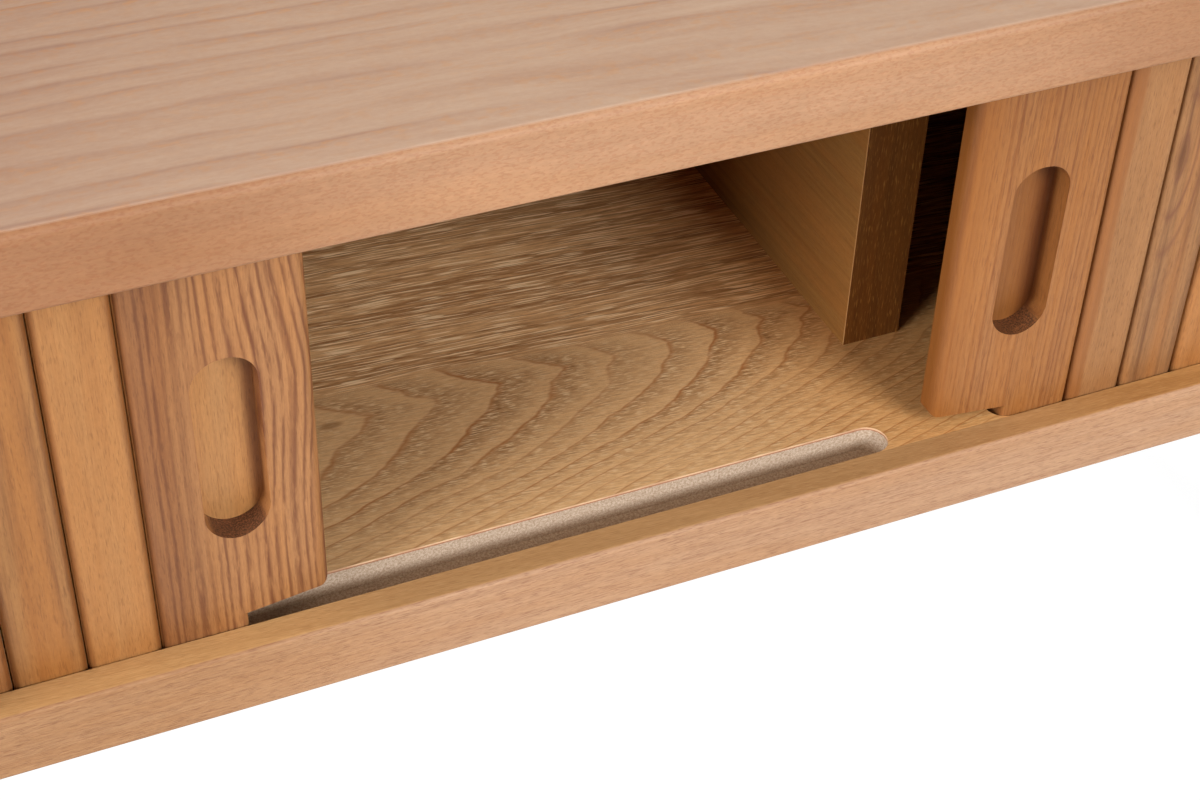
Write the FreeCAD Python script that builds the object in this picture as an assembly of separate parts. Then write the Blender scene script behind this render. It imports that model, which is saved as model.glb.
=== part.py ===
"""Tambour desk: a shallow two-compartment case on turned legs, closed by two sliding slatted doors.

Millimetres. The origin is on the floor, under the middle of the desk. +X runs along the front to the
right, +Y runs from the front into the desk, and +Z points up. The left door stands partly open.
"""

import FreeCAD
import Part
import math
import os

Vec = FreeCAD.Vector

# ---- the desk as a whole -------------------------------------------------------------------------
desk_width = 1200.0
desk_depth = 500.0
desk_height = 760.0

# ---- the case ------------------------------------------------------------------------------------
top_thickness = 22.0
bottom_thickness = 22.0
side_thickness = 22.0
compartment_height = 125.0
divider_thickness = 20.0
divider_setback = 60.0
divider_lipping_depth = 6.0
front_lipping_depth = 9.5
end_lipping_thickness = 6.0
top_arris_radius = 2.6
lipping_arris_radius = 1.2
strip_upper_radius = 1.6
strip_lower_radius = 0.9
side_arris_radius = 1.2
back_thickness = 9.0
back_rebate = 10.0
back_clearance = 0.3

# ---- the grooves that the doors run in -----------------------------------------------------------
groove_width = 12.1
groove_depth = 9.0
left_groove_inner_end = 19.4
groove_outer_end_wall = 1.0

# ---- the sliding doors ---------------------------------------------------------------------------
slat_thickness = 10.0
slat_front_clearance = 0.7
slat_pitch = 20.0
slat_gap = 0.5
slat_edge_radius = 2.6
slat_back_radius = 0.8
slats_per_door = 13
slat_foot_clearance = 0.3
slat_head_clearance = 0.8
lead_width = 47.8
lead_fall = 3.0
lead_nose_radius = 4.0
lead_lift = 4.2
lead_corner_radius = 2.5
right_lead_edge = -5.7
tongue_setback = 24.2
tongue_corner_radius = 1.5
stop_clearance = 0.3
meeting_gap = 0.4
left_door_opening = 190.5
canvas_thickness = 0.6
canvas_margin = 5.0
canvas_edge_margin = 4.0

# ---- the finger recess in each lead slat ---------------------------------------------------------
recess_width = 18.0
recess_height = 59.5
recess_depth = 8.0
recess_height_above_floor = 62.0

# ---- rubber stops in the outer ends of the grooves -----------------------------------------------
stop_length = 6.7
stop_height = 8.0

# ---- the fixed slatted fronts at the two ends ----------------------------------------------------
fixed_slats_per_end = 14
fixed_slat_thickness = 4.4
fixed_board_thickness = 2.8
fixed_front_setback = 1.3

# ---- legs and rails ------------------------------------------------------------------------------
leg_inset_x = 40.0
leg_inset_y = 66.0
leg_top_radius = 23.0
leg_foot_radius = 14.0
leg_splay_x = 24.0
leg_splay_y = 16.0
rail_thickness = 22.0
rail_height = 60.0
rail_arris_radius = 2.0
rear_rail_offset = 80.0
tenon_thickness = 12.0
tenon_height = 34.0
tenon_length = 16.0
glide_radius = 12.0
glide_thickness = 3.0
glide_pin_radius = 2.0
glide_pin_length = 12.0

# ---- fasteners -----------------------------------------------------------------------------------
dowel_radius = 4.0
dowel_length = 36.0
dowel_panel_depth = 15.0
dowel_edge_distance = 11.0
dowel_end_distance = 60.0
divider_dowel_distance = 45.0
bolt_radius = 3.0
bolt_head_radius = 6.0
bolt_head_length = 5.0
bolt_head_recess = 7.0
barrel_radius = 5.0
barrel_length = 16.0
barrel_distance = 30.0
bolt_tip = 8.0
thread_clearance = 0.05
rail_screw_radius = 2.2
rail_screw_head_radius = 4.5
rail_screw_head_length = 3.2
rail_screw_seat = 30.0
rail_screw_bite = 14.0
side_rail_screw_shares = (-0.57, -0.11, 0.22)
rear_rail_screw_places = (-340.0, 0.0, 340.0)
back_screw_radius = 1.75
back_screw_head_radius = 3.5
back_screw_head_length = 2.6
back_screw_length = 25.0
back_screw_margin = 5.0
back_screws_per_long_side = 7
back_screw_end_distance = 30.0
divider_back_screw_distance = 32.0

# ---- sizes that follow ---------------------------------------------------------------------------
front_y = -desk_depth / 2
back_y = desk_depth / 2
half_width = desk_width / 2
case_height = bottom_thickness + compartment_height + top_thickness
case_z = desk_height - case_height
floor_z = case_z + bottom_thickness
ceiling_z = floor_z + compartment_height
inner_half = half_width - side_thickness
core_half = half_width - end_lipping_thickness
core_front_y = front_y + front_lipping_depth
groove_mid_y = core_front_y + groove_width / 2
groove_radius = groove_width / 2
groove_outer_end = inner_half - groove_outer_end_wall
door_front_y = core_front_y + slat_front_clearance
door_back_y = door_front_y + slat_thickness
back_panel_y = back_y - back_thickness
door_length = lead_width + slats_per_door * slat_pitch
left_lead_closed_edge = right_lead_edge - meeting_gap
left_lead_edge = left_lead_closed_edge - left_door_opening
fixed_front_inner = inner_half - fixed_slats_per_end * slat_pitch
door_foot_z = floor_z - groove_depth + slat_foot_clearance
door_head_z = ceiling_z + groove_depth - slat_head_clearance
recess_mid_z = floor_z + recess_height_above_floor
leg_x = half_width - leg_inset_x
leg_y = desk_depth / 2 - leg_inset_y
rail_foot_z = case_z - rail_height
rail_mid_z = case_z - rail_height / 2
LEFT = -1
RIGHT = 1
SIDES = {"left": LEFT, "right": RIGHT}

# ---- the right door stops where its tongues touch the round ends of its grooves ------------------
tongue_corner_y = max(groove_mid_y - door_front_y, door_back_y - groove_mid_y) - tongue_corner_radius
end_radius = groove_radius - tongue_corner_radius
tongue_contact = end_radius - math.sqrt(end_radius ** 2 - tongue_corner_y ** 2)
right_groove_inner_end = right_lead_edge + tongue_setback - stop_clearance - tongue_contact
GROOVE_INNER_ENDS = {LEFT: left_groove_inner_end, RIGHT: right_groove_inner_end}


# ---- shape helpers -------------------------------------------------------------------------------
def block(x0, x1, y0, y1, z0, z1):
    """A box between two corners, given in any order along each axis."""
    low = Vec(min(x0, x1), min(y0, y1), min(z0, z1))
    return Part.makeBox(abs(x1 - x0), abs(y1 - y0), abs(z1 - z0), low)


def rod(radius, start, end):
    """A round bar from one point to another."""
    return Part.makeCylinder(radius, (end - start).Length, start, end - start)


def cone(radius_start, radius_end, start, end):
    """A tapered round bar from one point to another."""
    return Part.makeCone(radius_start, radius_end, (end - start).Length, start, end - start)


def rounded_outline(points, radii):
    """A closed wire through the points, each corner rounded by its own radius (0 keeps it sharp)."""
    edges = []
    count = len(points)
    arrive = []
    leave = []
    for i in range(count):
        corner = points[i]
        to_last = (points[i - 1] - corner).normalize()
        to_next = (points[(i + 1) % count] - corner).normalize()
        half_angle = to_last.getAngle(to_next) / 2
        cut_back = radii[i] / math.tan(half_angle)
        arrive.append(corner + to_last * cut_back)
        leave.append(corner + to_next * cut_back)
    for i in range(count):
        if radii[i] > 0:
            chord_middle = (arrive[i] + leave[i]) * 0.5
            outward = (points[i] - chord_middle).normalize()
            half_chord = (leave[i] - arrive[i]).Length / 2
            sagitta = radii[i] - math.sqrt(radii[i] ** 2 - half_chord ** 2)
            arc_middle = chord_middle + outward * sagitta
            edges.append(Part.Arc(arrive[i], arc_middle, leave[i]).toShape())
        start = leave[i]
        end = arrive[(i + 1) % count]
        edges.append(Part.LineSegment(start, end).toShape())
    return Part.Wire(edges)


def prism(points, radii, direction):
    """A solid made by pushing a rounded outline along a direction."""
    return Part.Face(rounded_outline(points, radii)).extrude(direction)


def cut_all(body, tools):
    """The body with every tool taken out of it."""
    for tool in tools:
        body = body.cut(tool)
    return body


def one_solid(shape):
    """The single solid of a shape, with leftover seams between its faces removed."""
    return shape.removeSplitter().Solids[0]


def export(name, solids):
    """One STEP file for a node that holds one solid or a group of equal ones."""
    shape = solids[0] if len(solids) == 1 else Part.makeCompound(solids)
    shape.exportStep("parts/" + name + ".step")


# ---- fasteners, which are also the tools that cut their own holes --------------------------------
def dowel_places():
    """Where each dowel's panel end starts: (x, y, z of the joint face, direction into the upright)."""
    places = []
    side_rows = (front_y + dowel_end_distance, 0.0, back_panel_y - dowel_end_distance)
    divider_front = front_y + divider_setback
    divider_rows = (divider_front + divider_dowel_distance, back_panel_y - divider_dowel_distance)
    for joint_z, into_upright in ((floor_z, 1), (ceiling_z, -1)):
        for side in (LEFT, RIGHT):
            for y in side_rows:
                places.append((side * (half_width - dowel_edge_distance), y, joint_z, into_upright))
        for y in divider_rows:
            places.append((0.0, y, joint_z, into_upright))
    return places


def make_dowels():
    dowels = []
    for x, y, joint_z, into_upright in dowel_places():
        start = Vec(x, y, joint_z - into_upright * dowel_panel_depth)
        end = start + Vec(0, 0, into_upright * dowel_length)
        dowels.append(rod(dowel_radius, start, end))
    return dowels


def back_screw_points():
    """Screws round the back panel's edge, two more up the divider's rear edge."""
    points = []
    reach = inner_half - back_screw_end_distance
    step = 2 * reach / (back_screws_per_long_side - 1)
    for z in (floor_z - back_screw_margin, ceiling_z + back_screw_margin):
        for i in range(back_screws_per_long_side):
            points.append((-reach + i * step, z))
    for side in (LEFT, RIGHT):
        points.append((side * (inner_half + back_screw_margin), floor_z + compartment_height / 2))
    points.append((0.0, floor_z + divider_back_screw_distance))
    points.append((0.0, ceiling_z - divider_back_screw_distance))
    return points


def make_back_screws():
    screws = []
    for x, z in back_screw_points():
        face = Vec(x, back_y, z)
        throat = Vec(x, back_y - back_screw_head_length, z)
        tip = Vec(x, back_y - back_screw_length, z)
        head = cone(back_screw_head_radius, back_screw_radius, face, throat)
        screws.append(one_solid(head.fuse(rod(back_screw_radius, throat, tip))))
    return screws


def rail_screw_points():
    points = []
    for side in (LEFT, RIGHT):
        for share in side_rail_screw_shares:
            points.append((side * leg_x, share * leg_y))
    for x in rear_rail_screw_places:
        points.append((x, rear_rail_offset))
    return points


def make_rail_screws():
    screws = []
    for x, y in rail_screw_points():
        head_z = case_z - rail_screw_seat
        neck_z = head_z + rail_screw_head_length
        head = rod(rail_screw_head_radius, Vec(x, y, head_z), Vec(x, y, neck_z))
        shank = rod(rail_screw_radius, Vec(x, y, neck_z), Vec(x, y, case_z + rail_screw_bite))
        screws.append(one_solid(head.fuse(shank)))
    return screws


def rail_screw_pockets():
    """The deep holes below the screw heads, through which a driver reaches them."""
    pockets = []
    for x, y in rail_screw_points():
        foot = Vec(x, y, rail_foot_z - 1)
        pockets.append(rod(rail_screw_head_radius, foot, Vec(x, y, case_z - rail_screw_seat)))
    return pockets


def make_bolt(outer, inward, grip):
    """A connector bolt. Its head sits below the point on the outer face; grip is head to nut axis."""
    seat = outer + inward * bolt_head_recess
    head_top = seat - inward * bolt_head_length
    tip = seat + inward * (grip + bolt_tip)
    head = rod(bolt_head_radius, head_top, seat)
    return one_solid(head.fuse(rod(bolt_radius, seat, tip)))


def bolt_cutter(outer, inward, grip):
    """The clearance for a bolt and the recess over its head, out past the surface."""
    seat = outer + inward * bolt_head_recess
    tip = seat + inward * (grip + bolt_tip)
    hole = rod(bolt_radius + thread_clearance, seat, tip)
    return hole.fuse(rod(bolt_head_radius + thread_clearance, outer - inward * bolt_head_recess, seat))


def make_barrel(outer, inward, grip, bolt):
    """The upright barrel nut, cross-drilled for its bolt."""
    centre = outer + inward * (bolt_head_recess + grip)
    half = Vec(0, 0, barrel_length / 2)
    return rod(barrel_radius, centre - half, centre + half).cut(bolt)


def barrel_hole(outer, inward, grip):
    """The hole that a barrel nut is dropped into from under the rail."""
    centre = outer + inward * (bolt_head_recess + grip)
    top = centre + Vec(0, 0, barrel_length / 2)
    return rod(barrel_radius, Vec(centre.x, centre.y, rail_foot_z - 1), top)


# ---- legs and rails ------------------------------------------------------------------------------
def leg_centre(side, end, z):
    """The point on a leg's slanted axis at a height."""
    drop = (case_z - z) / case_z
    return Vec(side * (leg_x + leg_splay_x * drop), end * (leg_y + leg_splay_y * drop), z)


def leg_blank(side, end):
    """The tapered leg, cut level at the case and on its glide."""
    above = case_z * 1.05
    below = -case_z * 0.05
    taper = (leg_top_radius - leg_foot_radius) / case_z
    radius_above = leg_top_radius + taper * (above - case_z)
    radius_below = leg_foot_radius + taper * below
    whole = cone(radius_above, radius_below, leg_centre(side, end, above), leg_centre(side, end, below))
    reach_x = leg_top_radius + leg_splay_x + leg_foot_radius
    reach_y = leg_top_radius + leg_splay_y + leg_foot_radius
    room = block(side * leg_x - reach_x, side * leg_x + reach_x, end * leg_y - reach_y,
                 end * leg_y + reach_y, glide_thickness, case_z)
    return whole.common(room)


def leg_radius_at_rail():
    return leg_top_radius - (leg_top_radius - leg_foot_radius) * (rail_height / 2) / case_z


def leg_bolt_line(end):
    """y of the leg's outer surface at the rail's height, where a leg bolt's head goes in."""
    centre = leg_centre(RIGHT, end, rail_mid_z)
    return centre.y + end * leg_radius_at_rail()


def leg_bolt_grip():
    """From the head's seat to the nut's axis: across the leg, then into the rail."""
    return 2 * leg_radius_at_rail() - bolt_head_recess + barrel_distance


def leg_bolt_frames():
    frames = []
    for side in (LEFT, RIGHT):
        for end in (-1, 1):
            outer = Vec(side * leg_x, leg_bolt_line(end), rail_mid_z)
            frames.append((outer, Vec(0, -end, 0), leg_bolt_grip()))
    return frames


def rail_bolt_frames():
    """Bolts through the side rails into the ends of the rear rail."""
    frames = []
    for side in (LEFT, RIGHT):
        outer = Vec(side * (leg_x + rail_thickness / 2), rear_rail_offset, rail_mid_z)
        frames.append((outer, Vec(-side, 0, 0), rail_thickness - bolt_head_recess + barrel_distance))
    return frames


def tenon(side, end):
    """The tongue on a side rail's end that fits in the leg."""
    shoulder = leg_centre(side, end, rail_mid_z).y - end * leg_radius_at_rail()
    x = side * leg_x
    half = tenon_thickness / 2
    z0 = rail_mid_z - tenon_height / 2
    return block(x - half, x + half, shoulder - end * tenon_length, shoulder + end * tenon_length,
                 z0, z0 + tenon_height)


def rail_section(axis_x, y0, y1, z0, z1, x0, x1):
    """A rail with its two lower long edges eased. axis_x tells whether it runs along X."""
    r = rail_arris_radius
    if axis_x:
        corners = [Vec(x0, y0, z0), Vec(x0, y1, z0), Vec(x0, y1, z1), Vec(x0, y0, z1)]
        return prism(corners, [r, r, 0, 0], Vec(x1 - x0, 0, 0))
    corners = [Vec(x0, y0, z0), Vec(x1, y0, z0), Vec(x1, y0, z1), Vec(x0, y0, z1)]
    return prism(corners, [r, r, 0, 0], Vec(0, y1 - y0, 0))


def make_leg(side, end):
    leg = leg_blank(side, end).cut(tenon(side, end))
    for outer, inward, grip in leg_bolt_frames():
        leg = leg.cut(bolt_cutter(outer, inward, grip))
    foot = leg_centre(side, end, glide_thickness)
    pin_top = foot + Vec(0, 0, glide_pin_length)
    return one_solid(leg.cut(rod(glide_pin_radius, Vec(foot.x, foot.y, 0), pin_top)))


def make_side_rail(side):
    x = side * leg_x
    half = rail_thickness / 2
    reach = leg_y
    rail = rail_section(False, -reach, reach, rail_foot_z, case_z, x - half, x + half)
    for end in (-1, 1):
        rail = rail.cut(leg_blank(side, end))
        rail = rail.fuse(tenon(side, end))
    rail = cut_all(rail, [bolt_cutter(*frame) for frame in leg_bolt_frames() + rail_bolt_frames()])
    rail = cut_all(rail, [barrel_hole(*frame) for frame in leg_bolt_frames()])
    rail = cut_all(rail, make_rail_screws() + rail_screw_pockets())
    return one_solid(rail)


def make_rear_rail():
    reach = leg_x - rail_thickness / 2
    y0 = rear_rail_offset - rail_thickness / 2
    rail = rail_section(True, y0, y0 + rail_thickness, rail_foot_z, case_z, -reach, reach)
    rail = cut_all(rail, [bolt_cutter(*frame) for frame in rail_bolt_frames()])
    rail = cut_all(rail, [barrel_hole(*frame) for frame in rail_bolt_frames()])
    rail = cut_all(rail, make_rail_screws() + rail_screw_pockets())
    return one_solid(rail)


def make_glides():
    glides = []
    for side in (LEFT, RIGHT):
        for end in (-1, 1):
            foot = leg_centre(side, end, glide_thickness)
            pad = rod(glide_radius, Vec(foot.x, foot.y, 0), foot)
            pin = rod(glide_pin_radius, foot, foot + Vec(0, 0, glide_pin_length))
            glides.append(one_solid(pad.fuse(pin)))
    return glides


# ---- the case ------------------------------------------------------------------------------------
def groove(side, z0, z1):
    """One door's groove. It opens on the front lipping and ends round at both ends."""
    inner = side * (GROOVE_INNER_ENDS[side] + groove_radius)
    outer = side * (groove_outer_end - groove_radius)
    slot = block(inner, outer, core_front_y, core_front_y + groove_width, z0, z1)
    for x in (inner, outer):
        slot = slot.fuse(rod(groove_radius, Vec(x, groove_mid_y, z0), Vec(x, groove_mid_y, z1)))
    return slot


def back_rebate_block():
    return block(-inner_half - back_rebate, inner_half + back_rebate, back_panel_y, back_y + 1,
                 floor_z - back_rebate, ceiling_z + back_rebate)


def make_core(z0, z1, groove_z0, groove_z1):
    """The board core of the top or the bottom panel."""
    core = block(-core_half, core_half, core_front_y, back_y, z0, z1)
    core = cut_all(core, [groove(side, groove_z0, groove_z1) for side in (LEFT, RIGHT)])
    core = core.cut(back_rebate_block())
    core = cut_all(core, make_dowels() + make_back_screws() + make_rail_screws())
    return one_solid(core)


def make_front_lipping(z0, z1, upper_radius, lower_radius):
    """A solid strip along a panel's front. Its eased edges face the user."""
    corners = [Vec(-half_width, front_y, z0), Vec(-half_width, core_front_y, z0),
               Vec(-half_width, core_front_y, z1), Vec(-half_width, front_y, z1)]
    return prism(corners, [lower_radius, 0, 0, upper_radius], Vec(desk_width, 0, 0))


def make_end_lippings():
    """The four strips on the ends of the two panel cores."""
    strips = []
    for z0, z1 in ((case_z, floor_z), (ceiling_z, desk_height)):
        for side in (LEFT, RIGHT):
            strips.append(block(side * core_half, side * half_width, core_front_y, back_y, z0, z1))
    return strips


def make_side_panel(side):
    outer = side * half_width
    inner = side * inner_half
    corners = [Vec(outer, front_y, floor_z), Vec(inner, front_y, floor_z),
               Vec(inner, back_y, floor_z), Vec(outer, back_y, floor_z)]
    r = side_arris_radius
    panel = prism(corners, [r, r, 0, 0], Vec(0, 0, compartment_height))
    panel = panel.cut(back_rebate_block())
    return one_solid(cut_all(panel, make_dowels() + make_back_screws()))


def make_divider():
    front = front_y + divider_setback + divider_lipping_depth
    half = divider_thickness / 2
    divider = block(-half, half, front, back_panel_y, floor_z, ceiling_z)
    return one_solid(cut_all(divider, make_dowels() + make_back_screws()))


def make_divider_lipping():
    front = front_y + divider_setback
    half = divider_thickness / 2
    return block(-half, half, front, front + divider_lipping_depth, floor_z, ceiling_z)


def make_back_panel():
    reach = inner_half + back_rebate - back_clearance
    low = floor_z - back_rebate + back_clearance
    high = ceiling_z + back_rebate - back_clearance
    panel = block(-reach, reach, back_panel_y, back_y, low, high)
    return one_solid(cut_all(panel, make_back_screws()))


def make_stops():
    """Rubber plugs in the outer ends of the grooves, below and above each door."""
    stops = []
    for side in (LEFT, RIGHT):
        face = side * (groove_outer_end - stop_length)
        for z0, z1 in ((floor_z - groove_depth, floor_z - groove_depth + stop_height),
                       (ceiling_z + groove_depth - stop_height, ceiling_z + groove_depth)):
            nose = side * (groove_outer_end - groove_radius)
            plug = rod(groove_radius, Vec(nose, groove_mid_y, z0), Vec(nose, groove_mid_y, z1))
            plug = plug.fuse(block(face, nose, core_front_y, core_front_y + groove_width, z0, z1))
            beyond = block(face, face + side * stop_length, core_front_y,
                           core_front_y + groove_width, z0, z1)
            stops.append(one_solid(plug.common(beyond)))
    return stops


# ---- the fixed fronts at the two ends ------------------------------------------------------------
def slat_outline(x0, x1, y_front, y_back, z, front_radius, back_radius):
    """A slat's plan: its two front edges rounded more than the back ones."""
    corners = [Vec(x0, y_front, z), Vec(x1, y_front, z), Vec(x1, y_back, z), Vec(x0, y_back, z)]
    return corners, [front_radius, front_radius, back_radius, back_radius]


def make_fixed_board(side):
    y0 = front_y + fixed_front_setback + fixed_slat_thickness
    return block(side * fixed_front_inner, side * inner_half, y0, y0 + fixed_board_thickness,
                 floor_z, ceiling_z)


def make_fixed_slats(side):
    slats = []
    y0 = front_y + fixed_front_setback
    for i in range(fixed_slats_per_end):
        x0 = fixed_front_inner + i * slat_pitch
        x1 = x0 + slat_pitch - slat_gap
        corners, radii = slat_outline(min(side * x0, side * x1), max(side * x0, side * x1), y0,
                                      y0 + fixed_slat_thickness, floor_z, slat_edge_radius, 0)
        slats.append(prism(corners, radii, Vec(0, 0, compartment_height)))
    return slats


# ---- the doors -----------------------------------------------------------------------------------
def door_slat(side, lead_edge, number):
    """A narrow slat, counted from the lead slat."""
    start = lead_width + slat_gap + (number - 1) * slat_pitch
    x0 = lead_edge + side * start
    x1 = x0 + side * (slat_pitch - slat_gap)
    corners, radii = slat_outline(min(x0, x1), max(x0, x1), door_front_y, door_back_y, door_foot_z,
                                  slat_edge_radius, slat_back_radius)
    return prism(corners, radii, Vec(0, 0, door_head_z - door_foot_z))


def lead_blade(side, lead_edge):
    """The lead slat without its tongues, clear of the floor and ceiling.

    Its face is flat as far as the tongues reach and then falls back to a round leading edge.
    """
    tail = lead_edge + side * lead_width
    bend = lead_edge + side * tongue_setback
    low = floor_z + lead_lift
    high = ceiling_z - lead_lift
    y0 = door_front_y
    y1 = door_back_y
    plan = [Vec(tail, y0, low), Vec(bend, y0, low), Vec(lead_edge, y0 + lead_fall, low),
            Vec(lead_edge, y1, low), Vec(tail, y1, low)]
    plan_radii = [slat_edge_radius, 0, lead_nose_radius, slat_back_radius, slat_back_radius]
    front = [Vec(tail, y0, low), Vec(lead_edge, y0, low), Vec(lead_edge, y0, high), Vec(tail, y0, high)]
    front_radii = [0, lead_corner_radius, lead_corner_radius, 0]
    from_above = prism(plan, plan_radii, Vec(0, 0, high - low))
    return from_above.common(prism(front, front_radii, Vec(0, slat_thickness, 0)))


def lead_tongue(side, lead_edge, z0, z1):
    """The part of the lead slat that runs in a groove."""
    tail = lead_edge + side * lead_width
    nose = lead_edge + side * tongue_setback
    plan = [Vec(tail, door_front_y, z0), Vec(nose, door_front_y, z0), Vec(nose, door_back_y, z0),
            Vec(tail, door_back_y, z0)]
    radii = [slat_edge_radius, tongue_corner_radius, tongue_corner_radius, slat_back_radius]
    return prism(plan, radii, Vec(0, 0, z1 - z0))


def finger_recess(side, lead_edge):
    """The stadium-shaped pocket for a fingertip."""
    x = lead_edge + side * lead_width / 2
    r = recess_width / 2
    straight = recess_height / 2 - r
    y0 = door_front_y - 1
    y1 = door_front_y + recess_depth
    pocket = block(x - r, x + r, y0, y1, recess_mid_z - straight, recess_mid_z + straight)
    for z in (recess_mid_z - straight, recess_mid_z + straight):
        pocket = pocket.fuse(rod(r, Vec(x, y0, z), Vec(x, y1, z)))
    return pocket


def make_lead_slat(side, lead_edge):
    root = lead_lift + 2
    lead = lead_blade(side, lead_edge)
    lead = lead.fuse(lead_tongue(side, lead_edge, door_foot_z, floor_z + root))
    lead = lead.fuse(lead_tongue(side, lead_edge, ceiling_z - root, door_head_z))
    return one_solid(lead.cut(finger_recess(side, lead_edge)))


def make_canvas(side, lead_edge):
    """The cloth glued behind the slats, between the floor and the ceiling."""
    x0 = lead_edge + side * canvas_edge_margin
    x1 = lead_edge + side * (door_length - slat_gap)
    return block(x0, x1, door_back_y, door_back_y + canvas_thickness, floor_z + canvas_margin,
                 ceiling_z - canvas_margin)


def export_door(name, side, lead_edge):
    export(name + "_lead_slat", [make_lead_slat(side, lead_edge)])
    for number in range(1, slats_per_door + 1):
        export("%s_slat_%02d" % (name, number), [door_slat(side, lead_edge, number)])
    export(name + "_canvas", [make_canvas(side, lead_edge)])


# ---- the whole desk ------------------------------------------------------------------------------
def main():
    os.makedirs("parts", exist_ok=True)

    bottom_groove = (floor_z - groove_depth, floor_z + 1)
    top_groove = (ceiling_z - 1, ceiling_z + groove_depth)
    export("bottom_panel", [make_core(case_z, floor_z, *bottom_groove)])
    export("top_panel", [make_core(ceiling_z, desk_height, *top_groove)])
    bottom_strip = make_front_lipping(case_z, floor_z, strip_upper_radius, strip_lower_radius)
    top_strip = make_front_lipping(ceiling_z, desk_height, top_arris_radius, lipping_arris_radius)
    export("bottom_front_lipping", [bottom_strip])
    export("top_front_lipping", [top_strip])
    export("end_lippings", make_end_lippings())
    export("centre_divider", [make_divider()])
    export("divider_front_lipping", [make_divider_lipping()])
    export("back_panel", [make_back_panel()])
    export("door_stops", make_stops())

    for name, side in SIDES.items():
        export("side_panel_" + name, [make_side_panel(side)])
        export(name + "_fixed_board", [make_fixed_board(side)])
        export(name + "_fixed_slats", make_fixed_slats(side))
        export("side_rail_" + name, [make_side_rail(side)])
        export("front_leg_" + name, [make_leg(side, -1)])
        export("rear_leg_" + name, [make_leg(side, 1)])

    export_door("left", LEFT, left_lead_edge)
    export_door("right", RIGHT, right_lead_edge)

    export("rear_rail", [make_rear_rail()])
    export("floor_glides", make_glides())

    leg_bolts = [make_bolt(*frame) for frame in leg_bolt_frames()]
    rail_bolts = [make_bolt(*frame) for frame in rail_bolt_frames()]
    frames = leg_bolt_frames() + rail_bolt_frames()
    barrels = [make_barrel(*frame, bolt) for frame, bolt in zip(frames, leg_bolts + rail_bolts)]
    export("leg_bolts", leg_bolts)
    export("rail_bolts", rail_bolts)
    export("barrel_nuts", barrels)
    export("rail_screws", make_rail_screws())
    export("carcass_dowels", make_dowels())
    export("back_panel_screws", make_back_screws())


main()
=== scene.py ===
"""Looks of the tambour desk: procedural woods, cloth, stage, lights and camera."""

import math
import random

import bpy
from mathutils import Matrix, Vector


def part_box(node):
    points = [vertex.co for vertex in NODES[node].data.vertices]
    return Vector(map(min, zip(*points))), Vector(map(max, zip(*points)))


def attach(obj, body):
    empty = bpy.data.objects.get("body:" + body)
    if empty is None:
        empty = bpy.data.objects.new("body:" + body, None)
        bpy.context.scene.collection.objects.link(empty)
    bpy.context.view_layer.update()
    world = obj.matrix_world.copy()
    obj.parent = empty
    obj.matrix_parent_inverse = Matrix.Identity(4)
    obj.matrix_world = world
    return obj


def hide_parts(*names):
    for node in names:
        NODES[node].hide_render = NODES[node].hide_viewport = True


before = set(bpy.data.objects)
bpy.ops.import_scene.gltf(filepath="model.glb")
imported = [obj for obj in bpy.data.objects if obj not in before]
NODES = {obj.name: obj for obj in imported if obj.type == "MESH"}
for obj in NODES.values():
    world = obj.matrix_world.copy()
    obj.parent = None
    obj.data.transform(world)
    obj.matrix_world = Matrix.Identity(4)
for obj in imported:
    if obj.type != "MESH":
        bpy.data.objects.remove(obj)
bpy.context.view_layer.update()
MM = 0.001

SLATS_PER_DOOR = 13

# ---- places read from the frame, in millimetres --------------------------------------------------
case_z, floor_z = [corner.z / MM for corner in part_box("bottom_panel")]
ceiling_z, top_z = [corner.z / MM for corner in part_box("top_panel")]
front_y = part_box("bottom_front_lipping")[0].y / MM


def slat_names(side):
    """A door's narrow slats, from its leading edge outward."""
    return ["%s_slat_%02d" % (side, i) for i in range(1, SLATS_PER_DOOR + 1)]


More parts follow.
